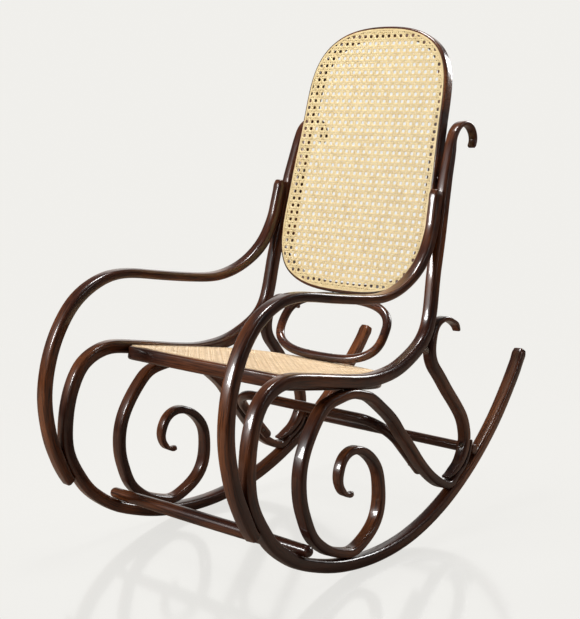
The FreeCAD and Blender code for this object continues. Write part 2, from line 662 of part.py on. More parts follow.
bolt_start, bolt_direction = face_screw_place(
    brace_curve, REAR_ROD_Y, REAR_ROD_Z, (REAR_ROD_Y, REAR_ROD_Z), BRACE_BOLTED_THICK)
bolt = screw(bolt_start, bolt_direction, BOLT_LENGTH, BOLT_RADIUS, BOLT_HEAD_RADIUS, BOLT_HEAD_HEIGHT)
bolt_bore = bore(bolt_start, bolt_direction, BOLT_LENGTH, BOLT_RADIUS, BOLT_HEAD_RADIUS)


def bores_for(*groups):
    """The holes of these screw groups, in the side frame's plane."""
    return [bore(start, direction, screw_lengths[group]) for group in groups
            for start, direction in screw_places[group]]


side_member = side_member.cut(bores_for(
    "arm_top_screws", "arm_foot_screws", "rail_screws", "runner_screws", "brace_top_screws",
    "front_stretcher_screws", "seat_screws", "back_frame_screws") + [bolt_bore])
arm = arm.cut(bores_for("arm_top_screws", "arm_foot_screws"))
scroll = scroll.cut(bores_for("rail_screws", "runner_screws", "bow_screws") + [bolt_bore])
brace = brace.cut(bores_for("brace_top_screws") + [bolt_bore])


def on_both_sides(shapes):
    """The shapes stood up on the sitter's left, and their mirror images."""
    stood = [stand_up(shape) for shape in shapes]
    return stood + [mirrored(shape) for shape in stood]


front_stretcher = front_stretcher.cut(on_both_sides(bores_for("front_stretcher_screws")))
rear_stretcher = rear_stretcher.cut(on_both_sides([bolt_bore]))
under_seat_bow = under_seat_bow.cut(on_both_sides(bores_for("bow_screws")))
seat_frame = seat_frame.cut(on_both_sides(bores_for("seat_screws")))
back_frame = back_frame.cut(on_both_sides(bores_for("back_frame_screws")))

# Packing washers between the posts and the back frame
washers = []
for (y, z, wall), thick in zip(BACK_SCREWS, WASHER_THICKS):
    washer = Part.makeCylinder(WASHER_RADIUS, thick)
    washer = washer.cut(Part.makeCylinder(SCREW_RADIUS + HOLE_GAP, thick))
    face = Vector(-POST_WIDTH / 2 - WASHER_CLEAR, y, z)
    washers.append(along(washer, face, Vector(-1, 0, 0)))

# Screws of the lower back ring: up into the back frame and down into the seat frame
ring_up = Vector(0, math.sin(math.radians(RING_LEAN)), math.cos(math.radians(RING_LEAN)))
back_up = Vector(0, math.sin(math.radians(BACK_LEAN)), math.cos(math.radians(BACK_LEAN)))
seat_down = Vector(0, -math.sin(math.radians(SEAT_SLOPE)), -math.cos(math.radians(SEAT_SLOPE)))
ring_screws = []
ring_bores = []
for side, direction in ((1, back_up), (-1, seat_down)):
    for x in (-RING_SCREW_X, RING_SCREW_X):
        centre = Vector(x, RING_CENTRE_Y, RING_CENTRE_Z) + ring_up * (side * RING_HALF_HEIGHT)
        start = centre - direction * (RING_RADIUS - RING_HEAD_SINK)
        ring_screws.append(screw(start, direction, FACE_SCREW))
        ring_bores.append(bore(start, direction, FACE_SCREW))
lower_back_ring = lower_back_ring.cut(ring_bores)
back_frame = back_frame.cut(ring_bores[:2])
seat_frame = seat_frame.cut(ring_bores[2:])
seat_cane = seat_cane.cut(ring_bores[2:])

pieces = {
    "under_seat_bow": under_seat_bow,
    "front_stretcher": front_stretcher,
    "rear_stretcher": rear_stretcher,
    "back_frame": back_frame,
    "back_cane": back_cane,
    "back_cane_cord": back_cane_cord,
    "lower_back_ring": lower_back_ring,
    "seat_frame": seat_frame,
    "seat_cane": seat_cane,
    "seat_cane_cord": seat_cane_cord,
    "ring_screws": Part.makeCompound(ring_screws),
    "rear_brace_bolts": Part.makeCompound(on_both_sides([bolt])),
    "back_frame_washers": Part.makeCompound(on_both_sides(washers)),
}
for name, piece in (("side_member", side_member), ("arm", arm), ("scroll_brace", scroll),
                    ("rear_brace", brace)):
    left, right = on_both_sides([piece])
    pieces["left_" + name] = left
    pieces["right_" + name] = right
for group, places in screw_places.items():
    screws = [screw(start, direction, screw_lengths[group]) for start, direction in places]
    pieces[group] = Part.makeCompound(on_both_sides(screws))

# The origin is on the floor, midway between the front of the arms and the runners' tails
lowest = pieces["left_side_member"].BoundBox.ZMin
middle = (pieces["left_arm"].BoundBox.YMin + pieces["left_side_member"].BoundBox.YMax) / 2
os.makedirs("parts", exist_ok=True)
for name, piece in pieces.items():
    piece.translate(Vector(0, -middle, -lowest))
    piece.exportStep(os.path.join("parts", name + ".step"))
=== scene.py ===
"""Bentwood rocking chair with a woven cane seat and back, laid out as an add-on."""

import math
import random

import bmesh
import bpy
import numpy as np
from mathutils import Matrix, Vector
from mathutils.geometry import convex_hull_2d


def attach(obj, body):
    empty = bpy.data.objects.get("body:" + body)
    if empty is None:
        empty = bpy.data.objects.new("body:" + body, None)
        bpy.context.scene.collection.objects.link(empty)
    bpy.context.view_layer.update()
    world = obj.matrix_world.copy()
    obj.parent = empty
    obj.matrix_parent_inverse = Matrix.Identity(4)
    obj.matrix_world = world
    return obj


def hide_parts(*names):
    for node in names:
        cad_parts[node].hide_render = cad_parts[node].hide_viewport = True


bl_info = {
    "name": "Bentwood rocking chair",
    "version": (1, 0, 0),
    "blender": (4, 5, 0),
    "location": "3D View > Sidebar > Chair",
    "description": "Dresses the rocking chair's frame in stained wood and woven cane",
    "category": "Object",
}

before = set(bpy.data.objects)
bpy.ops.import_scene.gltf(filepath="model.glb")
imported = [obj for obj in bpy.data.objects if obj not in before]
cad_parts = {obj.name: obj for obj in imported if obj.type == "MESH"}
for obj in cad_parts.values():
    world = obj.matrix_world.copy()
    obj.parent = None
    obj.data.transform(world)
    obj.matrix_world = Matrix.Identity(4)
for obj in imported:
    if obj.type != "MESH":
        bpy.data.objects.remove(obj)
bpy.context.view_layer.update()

# Centre lines of the bent members as (y, z) in metres, for the run of the wood grain
SIDE_LINE = [
    (0.299, 0.806), (0.306, 0.826), (0.295, 0.845), (0.271, 0.854), (0.244, 0.846), (0.226, 0.828),
    (0.217, 0.802), (0.204, 0.762), (0.186, 0.701), (0.165, 0.615), (0.145, 0.540), (0.131, 0.473),
    (0.118, 0.440), (0.097, 0.416), (0.070, 0.399), (0.038, 0.385), (0.005, 0.374), (-0.040, 0.367),
    (-0.085, 0.367), (-0.145, 0.374), (-0.230, 0.391), (-0.300, 0.404), (-0.340, 0.409),
    (-0.375, 0.402), (-0.407, 0.383), (-0.428, 0.352), (-0.443, 0.308), (-0.449, 0.262),
    (-0.446, 0.214), (-0.436, 0.186), (-0.419, 0.156), (-0.392, 0.119), (-0.362, 0.093),
    (-0.326, 0.069), (-0.285, 0.051), (-0.225, 0.031), (-0.160, 0.018), (-0.097, 0.012),
    (-0.030, 0.013), (0.040, 0.021), (0.112, 0.040), (0.190, 0.071), (0.265, 0.112), (0.330, 0.157),
    (0.388, 0.206), (0.440, 0.260), (0.477, 0.304), (0.500, 0.338)]
ARM_LINE = [
    (0.166, 0.727), (0.155, 0.686), (0.144, 0.648), (0.133, 0.622), (0.112, 0.590), (0.080, 0.562),
    (0.035, 0.539), (-0.010, 0.527), (-0.050, 0.524), (-0.090, 0.527), (-0.150, 0.535),
    (-0.230, 0.548), (-0.300, 0.557), (-0.340, 0.555), (-0.385, 0.541), (-0.425, 0.515),
    (-0.455, 0.479), (-0.480, 0.430), (-0.495, 0.375), (-0.499, 0.325), (-0.493, 0.275),
    (-0.482, 0.232), (-0.465, 0.193), (-0.443, 0.149)]
SCROLL_LINE = [
    (-0.149, 0.156), (-0.166, 0.157), (-0.182, 0.168), (-0.192, 0.190), (-0.188, 0.212),
    (-0.177, 0.229), (-0.153, 0.240), (-0.124, 0.236), (-0.089, 0.213), (-0.069, 0.184),
    (-0.063, 0.150), (-0.064, 0.122), (-0.069, 0.102), (-0.079, 0.084), (-0.095, 0.068),
    (-0.120, 0.053), (-0.163, 0.040), (-0.193, 0.048), (-0.224, 0.060), (-0.251, 0.077),
    (-0.279, 0.104), (-0.297, 0.142), (-0.308, 0.183), (-0.309, 0.202), (-0.308, 0.221),
    (-0.299, 0.256), (-0.280, 0.290), (-0.254, 0.322), (-0.234, 0.339), (-0.211, 0.347),
    (-0.180, 0.351), (-0.149, 0.352), (-0.123, 0.345), (-0.098, 0.336), (-0.072, 0.320),
    (-0.045, 0.299), (-0.015, 0.274), (0.010, 0.245), (0.039, 0.213), (0.068, 0.178),
    (0.100, 0.144), (0.142, 0.111), (0.168, 0.098), (0.189, 0.096), (0.217, 0.109),
    (0.244, 0.125), (0.264, 0.150), (0.272, 0.178)]
BRACE_LINE = [
    (0.232, 0.419), (0.225, 0.433), (0.206, 0.445), (0.185, 0.452), (0.162, 0.449), (0.142, 0.434),
    (0.128, 0.400), (0.129, 0.379), (0.138, 0.359), (0.156, 0.338), (0.180, 0.308), (0.206, 0.278),
    (0.229, 0.251), (0.247, 0.224), (0.255, 0.198), (0.256, 0.178), (0.249, 0.157), (0.234, 0.136),
    (0.210, 0.120), (0.179, 0.110)]
BENT_MEMBERS = {
    "side_member": SIDE_LINE, "arm": ARM_LINE, "scroll_brace": SCROLL_LINE, "rear_brace": BRACE_LINE}
CROSS_MEMBERS = [
    "under_seat_bow", "front_stretcher", "rear_stretcher", "lower_back_ring", "back_frame",
    "seat_frame", "back_frame_washers"]
SCREWS = [
    "arm_top_screws", "arm_foot_screws", "rail_screws", "runner_screws", "brace_top_screws",
    "front_stretcher_screws", "bow_screws", "seat_screws",
    "back_frame_screws", "ring_screws", "rear_brace_bolts"]

# Lamps as (name, place, power, width, height)
LAMPS = [
    ("Key light", (-1.7, -3.0, 1.9), 88, 0.8, 0.8),
    ("Front strip", (0.7, -3.3, 1.5), 5, 0.12, 1.8),
    ("Side strip", (3.1, 0.9, 1.7), 6, 0.12, 2.0),
    ("Top light", (-0.3, 0.1, 2.9), 62, 0.7, 0.7),
    ("Rear light", (0.9, 3.2, 1.9), 60, 1.0, 1.0),
]

LAMP_AIM = (0, 0, 0.5)

# Vertices this near each other are merged, and edges flatter than these angles are smooth
MERGE_GAP = 0.00002
BENT_SMOOTH = math.radians(50)
CROSS_SMOOTH = math.radians(40)
SMALL_SMOOTH = math.radians(35)

# Turns about X that stand the flat panels up in their places
BACK_TURN = math.radians(90 - 14.6)
SEAT_TURN = math.radians(-9.65)

# Weave: rises as shares of the strand's thickness, and the top's share of the strand's width
PAIR_RISE = 0.85
DIAGONAL_RISE = 1.0
LEVEL_SHARE = 1.5
CROWN = 0.7

# Weave: a panel has a multiple of four cells each way, with two or more past its rim
CELL_STEP = 4
SPARE_CELLS = 2

# Weave: least length of the sides that it is cut along, and how far its ends go under the cord
RIM_STEP = 0.014
UNDER_CORD = 0.0022

# An edge that reaches further than this along a strand runs along it
TINY = 0.00001

# Strands are told apart by lanes, six to a cell for the pairs, and each lane has its own tone
PAIR_LANES = 6
LANES = 400
BACK_SEED = 5
SEAT_SEED = 7

# Rounded edges of the cane cords
CORD_BEVEL = 0.0011
CORD_SEGMENTS = 2
CORD_CORNER = math.radians(40)

# Wood: noise scales along and across the grain, and the ranges that their ramps spread
FIBRE_SCALE = (14.0, 520.0, 520.0)
FIBRE_DETAIL = 4.0
FIBRE_DISTORTION = 0.4
FIBRE_RANGE = (0.32, 0.58)
FIBRE_FLOOR = (0.12, 0.12, 0.12, 1)
STAIN_SCALE = (4.0, 14.0, 14.0)
STAIN_DETAIL = 3.0
STAIN_RANGE = (0.42, 0.70)
WOOD_ROUGHNESS = (0.34, 0.24)
GRAIN_BUMP = {"Strength": 0.05, "Distance": 0.0004}
WOOD_FINISH = {
    "Specular IOR Level": 0.35, "Coat Weight": 0.55, "Coat Roughness": 0.07, "Coat IOR": 1.5}

# Cane: noise of its uneven colour, how far a strand's own tone shifts it, and the ramp's range
CANE_NOISE = {"Scale": 60.0, "Detail": 3.0}
TONE_SHARE = 0.22
CANE_RANGE = (0.30, 0.75)
CANE_ROUGHNESS = 0.42

# Steel of the screws and bolts
STEEL_NOISE = 400.0
STEEL_DARK = (0.10, 0.075, 0.055, 1)
STEEL_PALE = (0.26, 0.21, 0.17, 1)
STEEL_FINISH = {"Metallic": 0.9, "Roughness": 0.38}

# Floor: its shadows and reflections fade out between two distances from the chair
FLOOR_SIZE = 40.0
FLOOR_FINISH = {"Roughness": 0.9, "Specular IOR Level": 0.0}
MIRROR_ROUGHNESS = 0.12
FADE_RANGE = (0.7, 2.2)

# Backdrop: the way to it from the chair, and the cosines between which its edge fades in
BACKDROP_WAY = (-0.657, 0.753, 0.0)
BACKDROP_EDGE = (0.80, 0.90)

# Camera
SENSOR_WIDTH = 36.0
CAMERA_REACH = 100.0

# Plain colours, and the colour sockets of a Mix node
BLACK = (0, 0, 0, 1)
WHITE = (1, 1, 1, 1)
MIX_FIRST, MIX_SECOND, MIX_RESULT = 6, 7, 2


# Settings

class ChairWood(bpy.types.PropertyGroup):
    """Colours of the stained bentwood"""
    dark: bpy.props.FloatVectorProperty(
        name="Dark stain", description="Colour in the darkest grain", subtype="COLOR", size=3,
        default=(0.0085, 0.0030, 0.0026))
    mid: bpy.props.FloatVectorProperty(
        name="Stain", description="Main colour of the stained wood", subtype="COLOR", size=3,
        default=(0.058, 0.0160, 0.0074))
    worn: bpy.props.FloatVectorProperty(
        name="Worn stain", description="Colour where the stain is thin", subtype="COLOR", size=3,
        default=(0.240, 0.074, 0.022))


class ChairCane(bpy.types.PropertyGroup):
    """Sizes and colours of the woven cane"""
    pitch: bpy.props.FloatProperty(
        name="Mesh", description="Distance between neighbouring holes", default=0.016, unit="LENGTH")
    pair: bpy.props.FloatProperty(
        name="Pair spacing", description="Distance between the two strands of a pair",
        default=0.0054, unit="LENGTH")
    width: bpy.props.FloatProperty(
        name="Strand width", description="Width of one strand", default=0.0036, unit="LENGTH")
    thick: bpy.props.FloatProperty(
        name="Strand thickness", description="Thickness of one strand", default=0.0005,
        unit="LENGTH")
    pale: bpy.props.FloatVectorProperty(
        name="Pale cane", description="Lightest colour of the back's cane", subtype="COLOR", size=3,
        default=(0.80, 0.64, 0.33))
    dull: bpy.props.FloatVectorProperty(
        name="Dull cane", description="Darker colour of the back's cane", subtype="COLOR", size=3,
        default=(0.64, 0.47, 0.21))
    # The seat's cane colours are more peach and less yellow than the back's: partly the cane's own
    # tone, partly painted light that makes up for how the lamps fall on the upward-facing seat
    seat_pale: bpy.props.FloatVectorProperty(
        name="Pale seat cane", description="Lightest colour of the seat's cane", subtype="COLOR",
        size=3, default=(0.78, 0.58, 0.36))
    seat_dull: bpy.props.FloatVectorProperty(
        name="Dull seat cane", description="Darker colour of the seat's cane", subtype="COLOR",
        size=3, default=(0.62, 0.42, 0.23))


class ChairStudio(bpy.types.PropertyGroup):
    """Floor, light and camera"""
    floor: bpy.props.FloatVectorProperty(
        name="Floor", description="Colour of the floor and backdrop", subtype="COLOR", size=3,
        default=(0.875, 0.865, 0.835))
    bounce: bpy.props.FloatVectorProperty(
        name="Bounce", description="Colour that the floor throws back on the chair",
        subtype="COLOR", size=3, default=(0.26, 0.21, 0.17))
    shadow: bpy.props.FloatProperty(
        name="Shadow", description="Share of the floor's look that takes shadows", default=0.05,
        min=0, max=1, subtype="FACTOR")
    reflection: bpy.props.FloatProperty(
        name="Reflection", description="Share of the floor's look that mirrors the chair",
        default=0.12, min=0, max=1, subtype="FACTOR")
    ambient: bpy.props.FloatProperty(
        name="Ambient", description="Strength of the light from all round", default=0.06)
    camera_place: bpy.props.FloatVectorProperty(
        name="Camera place", description="Where the camera stands", size=3, subtype="TRANSLATION",
        unit="LENGTH", default=(1.720, -2.0205, 0.928))
    camera_turn: bpy.props.FloatVectorProperty(
        name="Camera turn", description="The camera's rotation", size=3, subtype="EULER",
        default=(math.radians(80.222), 0.0, math.radians(41.102)))
    lens: bpy.props.FloatProperty(
        name="Lens", description="Focal length for a 36 mm sensor", default=74.44)


# Materials

def new_material(name):
    """A material with its nodes, its links and its main shader."""
    material = bpy.data.materials.new(name)
    material.use_nodes = True
    nodes = material.node_tree.nodes
    return material, nodes, material.node_tree.links, nodes["Principled BSDF"]


def set_inputs(node, values):
    """Sets the sockets of a node to constants."""
    for socket, value in values.items():
        node.inputs[socket].default_value = value


def add_node(nodes, kind, operation=None):
    """A new node, with its operation where it has one."""
    node = nodes.new(kind)
    if operation:
        node.operation = operation
    return node


def add_noise(nodes, links, place, values):
    """The grey value of a noise at a place."""
    noise = nodes.new("ShaderNodeTexNoise")
    set_inputs(noise, values)
    links.new(place, noise.inputs["Vector"])
    return noise.outputs["Fac"]


def add_ramp(nodes, links, value, reach, low=BLACK, high=WHITE):
    """A value spread over a range as a blend from a low colour to a high one."""
    ramp = nodes.new("ShaderNodeValToRGB")
    for index, colour in enumerate((low, high)):
        ramp.color_ramp.elements[index].position = reach[index]
        ramp.color_ramp.elements[index].color = colour
    links.new(value, ramp.inputs[0])
    return ramp.outputs[0]


def add_map(nodes, links, value, values):
    """A value mapped from one range to another."""
    spread = nodes.new("ShaderNodeMapRange")
    set_inputs(spread, values)
    links.new(value, spread.inputs["Value"])
    return spread.outputs[0]


def stretched(nodes, links, place, factors):
    """A place multiplied axis by axis."""
    stretch = add_node(nodes, "ShaderNodeVectorMath", "MULTIPLY")
    stretch.inputs[1].default_value = factors
    links.new(place, stretch.inputs[0])
    return stretch.outputs[0]


def scaled(nodes, links, value, factor):
    """A value times a constant."""
    product = add_node(nodes, "ShaderNodeMath", "MULTIPLY")
    product.inputs[1].default_value = factor
    links.new(value, product.inputs[0])
    return product.outputs[0]


def combined(nodes, links, operation, first, second):
    """Two values put together by a Math node."""
    result = add_node(nodes, "ShaderNodeMath", operation)
    links.new(first, result.inputs[0])
    links.new(second, result.inputs[1])
    return result.outputs[0]


def blend_colours(nodes, links, share, first, second):
    """The first colour at share 0 and the second at share 1."""
    mix = nodes.new("ShaderNodeMix")
    mix.data_type = "RGBA"
    links.new(share, mix.inputs["Factor"])
    links.new(first, mix.inputs[MIX_FIRST])
    links.new(second, mix.inputs[MIX_SECOND])
    return mix.outputs[MIX_RESULT]


def blend_shaders(nodes, links, share, first, second):
    """The first shader at share 0 and the second at share 1."""
    mix = nodes.new("ShaderNodeMixShader")
    for index, source in enumerate((share, first, second)):
        links.new(source, mix.inputs[index])
    return mix.outputs[0]


def wood_grain_group():
    """Grain, pores and uneven stain, from a place that runs along the wood."""
    group = bpy.data.node_groups.new("Wood grain", "ShaderNodeTree")
    sockets = (
        ("Place", "INPUT", "NodeSocketVector"), ("Dark", "INPUT", "NodeSocketColor"),
        ("Mid", "INPUT", "NodeSocketColor"), ("Worn", "INPUT", "NodeSocketColor"),
        ("Color", "OUTPUT", "NodeSocketColor"), ("Roughness", "OUTPUT", "NodeSocketFloat"),
        ("Height", "OUTPUT", "NodeSocketFloat"))
    for name, way, kind in sockets:
        group.interface.new_socket(name, in_out=way, socket_type=kind)
    nodes, links = group.nodes, group.links
    given = nodes.new("NodeGroupInput").outputs
    result = nodes.new("NodeGroupOutput").inputs
    fibres = add_noise(
        nodes, links, stretched(nodes, links, given["Place"], FIBRE_SCALE),
        {"Scale": 1.0, "Detail": FIBRE_DETAIL, "Distortion": FIBRE_DISTORTION})
    stain = add_noise(
        nodes, links, stretched(nodes, links, given["Place"], STAIN_SCALE),
        {"Scale": 1.0, "Detail": STAIN_DETAIL})
    warmth = add_ramp(nodes, links, stain, STAIN_RANGE)
    warm = blend_colours(nodes, links, warmth, given["Mid"], given["Worn"])
    darkness = add_ramp(nodes, links, fibres, FIBRE_RANGE, low=FIBRE_FLOOR)
    rough = add_map(
        nodes, links, stain, {"To Min": WOOD_ROUGHNESS[0], "To Max": WOOD_ROUGHNESS[1]})
    links.new(blend_colours(nodes, links, darkness, given["Dark"], warm), result["Color"])
    links.new(rough, result["Roughness"])
    links.new(fibres, result["Height"])
    return group


def wood_material(name, grain, settings, along_attribute):
    """Glossy stained wood whose grain follows the member or one straight direction."""
    material, nodes, links, shader = new_material(name)
    if along_attribute:
        place = nodes.new("ShaderNodeAttribute")
        place.attribute_name = "grain_place"
        source = place.outputs["Vector"]
    else:
        source = nodes.new("ShaderNodeTexCoord").outputs["Object"]
    effect = nodes.new("ShaderNodeGroup")
    effect.node_tree = grain
    links.new(source, effect.inputs["Place"])
    colours = {"Dark": settings.dark, "Mid": settings.mid, "Worn": settings.worn}
    set_inputs(effect, {socket: (*colour, 1.0) for socket, colour in colours.items()})
    links.new(effect.outputs["Color"], shader.inputs["Base Color"])
    links.new(effect.outputs["Roughness"], shader.inputs["Roughness"])
    bump = nodes.new("ShaderNodeBump")
    set_inputs(bump, GRAIN_BUMP)
    links.new(effect.outputs["Height"], bump.inputs["Height"])
    links.new(bump.outputs[0], shader.inputs["Normal"])
    set_inputs(shader, WOOD_FINISH)
    return material


def cane_material(name, dull, pale):
    """Split cane: an uneven straw colour, with a different tone on each strand."""
    material, nodes, links, shader = new_material(name)
    tone = nodes.new("ShaderNodeAttribute")
    tone.attribute_name = "strand_tone"
    place = nodes.new("ShaderNodeTexCoord").outputs["Object"]
    noise = add_noise(nodes, links, place, CANE_NOISE)
    shifted = add_node(nodes, "ShaderNodeMath", "MULTIPLY_ADD")
    links.new(tone.outputs["Fac"], shifted.inputs[0])
    shifted.inputs[1].default_value = TONE_SHARE
    links.new(noise, shifted.inputs[2])
    colour = add_ramp(
        nodes, links, shifted.outputs[0], CANE_RANGE, low=(*dull, 1), high=(*pale, 1))
    links.new(colour, shader.inputs["Base Color"])
    shader.inputs["Roughness"].default_value = CANE_ROUGHNESS
    return material


def metal_material(name):
    """Dulled dark steel for screw heads."""
    material, nodes, links, shader = new_material(name)
    place = nodes.new("ShaderNodeTexCoord").outputs["Object"]
    noise = add_noise(nodes, links, place, {"Scale": STEEL_NOISE})
    colour = add_ramp(nodes, links, noise, (0.0, 1.0), low=STEEL_DARK, high=STEEL_PALE)
    links.new(colour, shader.inputs["Base Color"])
    set_inputs(shader, STEEL_FINISH)
    return material


# Pieces

def select_only(obj):
    """Makes one object the active one and the only one selected."""
    bpy.ops.object.select_all(action="DESELECT")
    obj.select_set(True)
    bpy.context.view_layer.objects.active = obj


def finished_copy(node_name, piece_name, smooth_angle):
    """A merged, smooth copy of a CAD node, at the origin with its place in its mesh."""
    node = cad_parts[node_name]
    mesh = node.data.copy()
    mesh.transform(node.matrix_world)
    piece = bpy.data.objects.new(piece_name, mesh)
    bpy.context.scene.collection.objects.link(piece)
    mesh.materials.clear()
    select_only(piece)
    bpy.ops.object.mode_set(mode="EDIT")
    bpy.ops.mesh.select_all(action="SELECT")
    if mesh.has_custom_normals:
        bpy.ops.mesh.customdata_custom_splitnormals_clear()
    bpy.ops.mesh.remove_doubles(threshold=MERGE_GAP)
    bpy.ops.object.mode_set(mode="OBJECT")
    bpy.ops.object.shade_smooth_by_angle(angle=smooth_angle)
    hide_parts(node_name)
    return piece


def vertex_places(mesh):
    """The places of a mesh's vertices, one to a row."""
    places = np.empty(len(mesh.vertices) * 3)
    mesh.vertices.foreach_get("co", places)
    return places.reshape(-1, 3)


def grain_along(piece, line):
    """Stores a place that runs along a bent member's centre line at every point."""
    mesh = piece.data
    places = vertex_places(mesh)
    corners = np.array(line)
    starts, ends = corners[:-1], corners[1:]
    steps = ends - starts
    lengths = np.linalg.norm(steps, axis=1)
    before = np.concatenate([[0.0], np.cumsum(lengths)[:-1]])
    flat = places[:, None, 1:3] - starts[None]
    share = np.clip((flat * steps).sum(2) / lengths ** 2, 0, 1)
    gap = np.linalg.norm(flat - share[..., None] * steps, axis=2)
    nearest = gap.argmin(axis=1)
    rows = np.arange(len(places))
    along = before[nearest] + share[rows, nearest] * lengths[nearest]
    side = steps[nearest, 0] * flat[rows, nearest, 1] - steps[nearest, 1] * flat[rows, nearest, 0]
    offset = side / lengths[nearest]
    grain = np.stack([along, places[:, 0], offset], axis=1)
    attribute = mesh.attributes.new("grain_place", "FLOAT_VECTOR", "POINT")
    attribute.data.foreach_set("vector", grain.astype(np.float32).ravel())


def choose_vertices(piece, test):
    """Selects the vertices whose place passes a test, and nothing else."""
    bpy.ops.mesh.select_mode(type="VERT")
    edit = bmesh.from_edit_mesh(piece.data)
    for vertex in edit.verts:
        vertex.select_set(test(vertex.co))
    edit.select_flush_mode()
    bmesh.update_edit_mesh(piece.data)


def choose_long_edges(piece):
    """Selects the edges that run along a strand, and nothing else."""
    bpy.ops.mesh.select_mode(type="EDGE")
    bpy.ops.mesh.select_all(action="DESELECT")
    edit = bmesh.from_edit_mesh(piece.data)
    for edge in edit.edges:
        edge.select_set(abs(edge.verts[0].co.y - edge.verts[1].co.y) > TINY)
    bmesh.update_edit_mesh(piece.data)


def add_strand(settings, cells, cell, cuts, lifts):
    """One flat strand along Y, cut across at equal steps and raised or lowered at each in turn."""
    bpy.ops.object.select_all(action="DESELECT")
    bpy.ops.mesh.primitive_cube_add(size=1.0, location=(0, 0, 0))
    strand = bpy.context.active_object
    bpy.ops.object.mode_set(mode="EDIT")
    bpy.ops.transform.resize(value=(settings.width, cells * cell, settings.thick))
    choose_vertices(strand, lambda place: place.z > 0)
    bpy.ops.transform.resize(value=(CROWN, 1.0, 1.0))
    for number in (cells - 1, cuts):
        if number:
            choose_long_edges(strand)
            bpy.ops.mesh.subdivide(number_cuts=number)
    step = cell / (cuts + 1)
    for turn, lift in enumerate(lifts):
        if lift:
            choose_vertices(strand, lambda place: round(place.y / step) % len(lifts) == turn)
            bpy.ops.transform.translate(value=(0, 0, lift))
    bpy.ops.object.mode_set(mode="OBJECT")
    return strand


def moved(piece, x, y):
    """Moves a piece within its panel and keeps its object at the origin."""
    select_only(piece)
    bpy.ops.transform.translate(value=(x, y, 0))
    bpy.ops.object.transform_apply(location=True, rotation=False, scale=False)
    return piece


def moved_copy(piece, x, y):
    """A copy of a piece, with its own mesh, moved within its panel."""
    select_only(piece)
    bpy.ops.object.duplicate(linked=False)
    return moved(bpy.context.active_object, x, y)


def turned(piece, axis, angle):
    """Turns a piece about an axis through the origin and keeps its object unturned."""
    select_only(piece)
    piece.rotation_euler[axis] = angle
    bpy.ops.object.transform_apply(location=False, rotation=True, scale=False)
    return piece


def joined(pieces):
    """Joins pieces into the first one."""
    select_only(pieces[0])
    for piece in pieces:
        piece.select_set(True)
    bpy.ops.object.join()
    return pieces[0]


def repeated(piece, count, offset):
    """Repeats a piece at equal steps."""
    select_only(piece)
    array = piece.modifiers.new("Repeat", "ARRAY")
    array.use_relative_offset = False
    array.use_constant_offset = True
    array.constant_offset_displace = offset
    array.count = count
    bpy.ops.object.modifier_apply(modifier=array.name)
    return piece


def pair_family(settings, columns, rows):
    """Pairs of strands along Y that rise and fall in turn over the pairs that cross them."""
    pitch, half_pair = settings.pitch, settings.pair / 2
    rise = settings.thick * PAIR_RISE
    first = add_strand(settings, rows, pitch, 2, (0, rise, -rise, 0, -rise, rise))
    others = [moved_copy(first, pitch / 2 - half_pair, pitch),
              moved_copy(first, pitch * 1.5 + half_pair, pitch),
              moved_copy(first, pitch * 1.5 - half_pair, 0)]
    moved(first, pitch / 2 + half_pair, 0)
    family = joined([first] + others)
    moved(family, -columns / 2 * pitch, 0)
    return repeated(family, columns // 2, (pitch * 2, 0, 0))


def diagonal_family(settings, columns, rows, lean):
    """Single strands at 45 degrees, over one set of pairs and under the other."""
    pitch = settings.pitch
    rise = settings.thick * DIAGONAL_RISE * lean
    strand = add_strand(settings, 2 * columns, pitch / math.sqrt(2), 0, (rise, -rise))
    turned(strand, 2, -lean * math.pi / 4)
    count = columns + rows
    moved(strand, 0, (0.5 - count // 2) * pitch)
    return repeated(strand, count, (0, pitch, 0))


def give_tones(family, lane_of, chance):
    """Stores one random tone for each strand, found by the lane that it runs in."""
    mesh = family.data
    places = vertex_places(mesh)
    lanes = np.round(lane_of(places[:, 0], places[:, 1])).astype(int)
    table = np.array([chance.random() for lane in range(LANES)])
    attribute = mesh.attributes.new("strand_tone", "FLOAT", "POINT")
    attribute.data.foreach_set("value", table[lanes % LANES].astype(np.float32))


def panel_rim(node_name, turn):
    """The corners round a CAD cane sheet once it is laid flat, its middle and its lower level."""
    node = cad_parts[node_name]
    flat = [Matrix.Rotation(-turn, 3, "X") @ (node.matrix_world @ vertex.co)
            for vertex in node.data.vertices]
    level = min(place.z for place in flat)
    spots = [place.xy for place in flat]
    hull = [spots[index] for index in convex_hull_2d(spots)]
    rim = hull[:1]
    for spot in hull:
        if (spot - rim[-1]).length > RIM_STEP:
            rim.append(spot)
    middle = Vector(((min(spot.x for spot in hull) + max(spot.x for spot in hull)) / 2,
                     (min(spot.y for spot in hull) + max(spot.y for spot in hull)) / 2))
    return rim, middle, level


def trimmed(family, rim, middle):
    """Cuts a family of strands off just outside the rim, side by side round the panel."""
    select_only(family)
    bpy.ops.object.mode_set(mode="EDIT")
    for corner, following in zip(rim, rim[1:] + rim[:1]):
        side = following - corner
        outward = Vector((side.y, -side.x, 0)).normalized()
        place = Vector((*(corner - middle), 0)) + outward * UNDER_CORD
        bpy.ops.mesh.select_all(action="SELECT")
        bpy.ops.mesh.bisect(plane_co=place, plane_no=outward, clear_outer=True, use_fill=True)
    bpy.ops.object.mode_set(mode="OBJECT")


